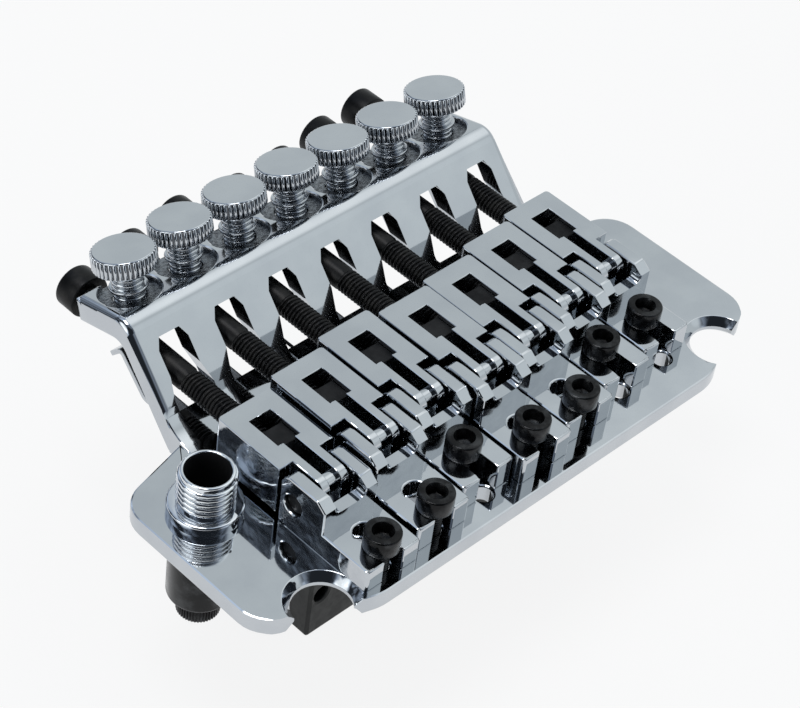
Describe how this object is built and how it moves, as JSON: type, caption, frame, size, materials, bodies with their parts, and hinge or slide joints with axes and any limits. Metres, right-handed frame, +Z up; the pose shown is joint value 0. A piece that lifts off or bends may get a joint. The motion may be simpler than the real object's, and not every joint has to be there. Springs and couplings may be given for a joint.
{
  "type": "guitar tremolo bridge",
  "caption": "Locking tremolo bridge for an electric guitar: chrome base plate with knife-edge pivots, pivoting saddles with lock screws, knurled fine tuners, sustain block and arm socket.",
  "frame": {"origin": "midway between the two knife-edge pivots, halfway up the base plate", "axes": "+Z up and square to the base plate, +Y along the strings towards the tail, +X across the strings, away from the arm socket"},
  "size_m": [0.1052, 0.0771, 0.0543],
  "materials": {
    "chrome": "polished chrome plating",
    "black_oxide": "black oxide, slightly oily",
    "bare_steel": "dull hardened steel",
    "block": "dark satin coating on cast metal"
  },
  "bodies": {
    "bridge": {"base_plate": "chrome", "saddle_mount_screws": "black_oxide", "leaf_spring": "chrome", "leaf_spring_screws": "black_oxide", "sustain_block": "block", "block_screws": "black_oxide", "arm_socket": "chrome", "arm_socket_sleeve": "black_oxide"},
    "tension_screw": {"arm_tension_screw": "black_oxide"},
    "saddle_1": {"saddle_base_1": "chrome", "pivot_pin_1": "bare_steel"},
    "holder_1": {"string_holder_1": "chrome"},
    "block_1": {"lock_block_1": "bare_steel"},
    "screw_1": {"lock_screw_1": "black_oxide"},
    "tuner_1": {"fine_tuner_1": "chrome"},
    "saddle_2": {"saddle_base_2": "chrome", "pivot_pin_2": "bare_steel"},
    "holder_2": {"string_holder_2": "chrome"},
    "block_2": {"lock_block_2": "bare_steel"},
    "screw_2": {"lock_screw_2": "black_oxide"},
    "tuner_2": {"fine_tuner_2": "chrome"},
    "saddle_3": {"saddle_base_3": "chrome", "pivot_pin_3": "bare_steel"},
    "holder_3": {"string_holder_3": "chrome"},
    "block_3": {"lock_block_3": "bare_steel"},
    "screw_3": {"lock_screw_3": "black_oxide"},
    "tuner_3": {"fine_tuner_3": "chrome"},
    "saddle_4": {"saddle_base_4": "chrome", "pivot_pin_4": "bare_steel"},
    "holder_4": {"string_holder_4": "chrome"},
    "block_4": {"lock_block_4": "bare_steel"},
    "screw_4": {"lock_screw_4": "black_oxide"},
    "tuner_4": {"fine_tuner_4": "chrome"},
    "saddle_5": {"saddle_base_5": "chrome", "pivot_pin_5": "bare_steel"},
    "holder_5": {"string_holder_5": "chrome"},
    "block_5": {"lock_block_5": "bare_steel"},
    "screw_5": {"lock_screw_5": "black_oxide"},
    "tuner_5": {"fine_tuner_5": "chrome"},
    "saddle_6": {"saddle_base_6": "chrome", "pivot_pin_6": "bare_steel"},
    "holder_6": {"string_holder_6": "chrome"},
    "block_6": {"lock_block_6": "bare_steel"},
    "screw_6": {"lock_screw_6": "black_oxide"},
    "tuner_6": {"fine_tuner_6": "chrome"},
    "saddle_7": {"saddle_base_7": "chrome", "pivot_pin_7": "bare_steel"},
    "holder_7": {"string_holder_7": "chrome"},
    "block_7": {"lock_block_7": "bare_steel"},
    "screw_7": {"lock_screw_7": "black_oxide"},
    "tuner_7": {"fine_tuner_7": "chrome"}
  },
  "joints": [
    {"name": "arm_tension", "type": "hinge", "parent": "bridge", "child": "tension_screw", "pos_m": [-0.0439, 0.0186, -0.0175], "axis": [0, 0, 1], "range_deg": [-360, 360]},
    {"name": "intonation_1", "type": "slide", "parent": "bridge", "child": "saddle_1", "axis": [0, 1, 0], "range_m": [-0.0015, 0.0013]},
    {"name": "holder_tilt_1", "type": "hinge", "parent": "saddle_1", "child": "holder_1", "pos_m": [-0.0321, 0.0081, 0.0064], "axis": [1, 0, 0], "range_deg": [-1.69, 2.1], "deforming": ["leaf_spring"]},
    {"name": "string_lock_1", "type": "slide", "parent": "holder_1", "child": "screw_1", "axis": [0, 1, 0], "range_m": [0, 0.002]},
    {"name": "clamp_1", "type": "slide", "parent": "holder_1", "child": "block_1", "axis": [0, 1, 0], "range_m": [0, 0.002]},
    {"name": "fine_tune_1", "type": "slide", "parent": "bridge", "child": "tuner_1", "axis": [0, 0.2538, 0.9673], "range_m": [-0.0012, 0.0015]},
    {"name": "intonation_2", "type": "slide", "parent": "bridge", "child": "saddle_2", "axis": [0, 1, 0], "range_m": [-0.0015, 0.0007]},
    {"name": "holder_tilt_2", "type": "hinge", "parent": "saddle_2", "child": "holder_2", "pos_m": [-0.0214, 0.009, 0.0076], "axis": [1, 0, 0], "range_deg": [-2.27, 2.13], "deforming": ["leaf_spring"]},
    {"name": "string_lock_2", "type": "slide", "parent": "holder_2", "child": "screw_2", "axis": [0, 1, 0], "range_m": [0, 0.002]},
    {"name": "clamp_2", "type": "slide", "parent": "holder_2", "child": "block_2", "axis": [0, 1, 0], "range_m": [0, 0.002]},
    {"name": "fine_tune_2", "type": "slide", "parent": "bridge", "child": "tuner_2", "axis": [0, 0.2538, 0.9673], "range_m": [-0.0016, 0.0015]},
    {"name": "intonation_3", "type": "slide", "parent": "bridge", "child": "saddle_3", "axis": [0, 1, 0], "range_m": [-0.0003, 0.0015]},
    {"name": "holder_tilt_3", "type": "hinge", "parent": "saddle_3", "child": "holder_3", "pos_m": [-0.0107, 0.0106, 0.0078], "axis": [1, 0, 0], "range_deg": [-2.36, 2.22], "deforming": ["leaf_spring"]},
    {"name": "string_lock_3", "type": "slide", "parent": "holder_3", "child": "screw_3", "axis": [0, 1, 0], "range_m": [0, 0.002]},
    {"name": "clamp_3", "type": "slide", "parent": "holder_3", "child": "block_3", "axis": [0, 1, 0], "range_m": [0, 0.002]},
    {"name": "fine_tune_3", "type": "slide", "parent": "bridge", "child": "tuner_3", "axis": [0, 0.2538, 0.9673], "range_m": [-0.0016, 0.0015]},
    {"name": "intonation_4", "type": "slide", "parent": "bridge", "child": "saddle_4", "axis": [0, 1, 0], "range_m": [-0.0015, 0.0015]},
    {"name": "holder_tilt_4", "type": "hinge", "parent": "saddle_4", "child": "holder_4", "pos_m": [0, 0.0089, 0.0081], "axis": [1, 0, 0], "range_deg": [-2.4, 2.12], "deforming": ["leaf_spring"]},
    {"name": "string_lock_4", "type": "slide", "parent": "holder_4", "child": "screw_4", "axis": [0, 1, 0], "range_m": [0, 0.002]},
    {"name": "clamp_4", "type": "slide", "parent": "holder_4", "child": "block_4", "axis": [0, 1, 0], "range_m": [0, 0.002]},
    {"name": "fine_tune_4", "type": "slide", "parent": "bridge", "child": "tuner_4", "axis": [0, 0.2538, 0.9673], "range_m": [-0.0017, 0.0015]},
    {"name": "intonation_5", "type": "slide", "parent": "bridge", "child": "saddle_5", "axis": [0, 1, 0], "range_m": [-0.0015, 0.001]},
    {"name": "holder_tilt_5", "type": "hinge", "parent": "saddle_5", "child": "holder_5", "pos_m": [0.0107, 0.0102, 0.0077], "axis": [1, 0, 0], "range_deg": [-2.2, 2.2], "deforming": ["leaf_spring"]},
    {"name": "string_lock_5", "type": "slide", "parent": "holder_5", "child": "screw_5", "axis": [0, 1, 0], "range_m": [0, 0.002]},
    {"name": "clamp_5", "type": "slide", "parent": "holder_5", "child": "block_5", "axis": [0, 1, 0], "range_m": [0, 0.002]},
    {"name": "fine_tune_5", "type": "slide", "parent": "bridge", "child": "tuner_5", "axis": [0, 0.2538, 0.9673], "range_m": [-0.0015, 0.0015]},
    {"name": "intonation_6", "type": "slide", "parent": "bridge", "child": "saddle_6", "axis": [0, 1, 0], "range_m": [0, 0.0015]},
    {"name": "holder_tilt_6", "type": "hinge", "parent": "saddle_6", "child": "holder_6", "pos_m": [0.0214, 0.0122, 0.0076], "axis": [1, 0, 0], "range_deg": [-1.71, 2.31], "deforming": ["leaf_spring"]},
    {"name": "string_lock_6", "type": "slide", "parent": "holder_6", "child": "screw_6", "axis": [0, 1, 0], "range_m": [0, 0.002]},
    {"name": "clamp_6", "type": "slide", "parent": "holder_6", "child": "block_6", "axis": [0, 1, 0], "range_m": [0, 0.002]},
    {"name": "fine_tune_6", "type": "slide", "parent": "bridge", "child": "tuner_6", "axis": [0, 0.2538, 0.9673], "range_m": [-0.0011, 0.0015]},
    {"name": "intonation_7", "type": "slide", "parent": "bridge", "child": "saddle_7", "axis": [0, 1, 0], "range_m": [-0.0006, 0.001]},
    {"name": "holder_tilt_7", "type": "hinge", "parent": "saddle_7", "child": "holder_7", "pos_m": [0.0321, 0.0136, 0.0075], "axis": [1, 0, 0], "range_deg": [-2.25, 2.41], "deforming": ["leaf_spring"]},
    {"name": "string_lock_7", "type": "slide", "parent": "holder_7", "child": "screw_7", "axis": [0, 1, 0], "range_m": [0, 0.002]},
    {"name": "clamp_7", "type": "slide", "parent": "holder_7", "child": "block_7", "axis": [0, 1, 0], "range_m": [0, 0.002]},
    {"name": "fine_tune_7", "type": "slide", "parent": "bridge", "child": "tuner_7", "axis": [0, 0.2538, 0.9673], "range_m": [-0.0014, 0.0015]}
  ],
  "couplings": [
    {"joint": "holder_tilt_1", "follows": "fine_tune_1", "rad_per_m": 23.877},
    {"joint": "clamp_1", "follows": "string_lock_1", "ratio": 1},
    {"joint": "holder_tilt_2", "follows": "fine_tune_2", "rad_per_m": 24.227},
    {"joint": "clamp_2", "follows": "string_lock_2", "ratio": 1},
    {"joint": "holder_tilt_3", "follows": "fine_tune_3", "rad_per_m": 25.204},
    {"joint": "clamp_3", "follows": "string_lock_3", "ratio": 1},
    {"joint": "holder_tilt_4", "follows": "fine_tune_4", "rad_per_m": 24.087},
    {"joint": "clamp_4", "follows": "string_lock_4", "ratio": 1},
    {"joint": "holder_tilt_5", "follows": "fine_tune_5", "rad_per_m": 24.961},
    {"joint": "clamp_5", "follows": "string_lock_5", "ratio": 1},
    {"joint": "holder_tilt_6", "follows": "fine_tune_6", "rad_per_m": 26.338},
    {"joint": "clamp_6", "follows": "string_lock_6", "ratio": 1},
    {"joint": "holder_tilt_7", "follows": "fine_tune_7", "rad_per_m": 27.402},
    {"joint": "clamp_7", "follows": "string_lock_7", "ratio": 1}
  ]
}
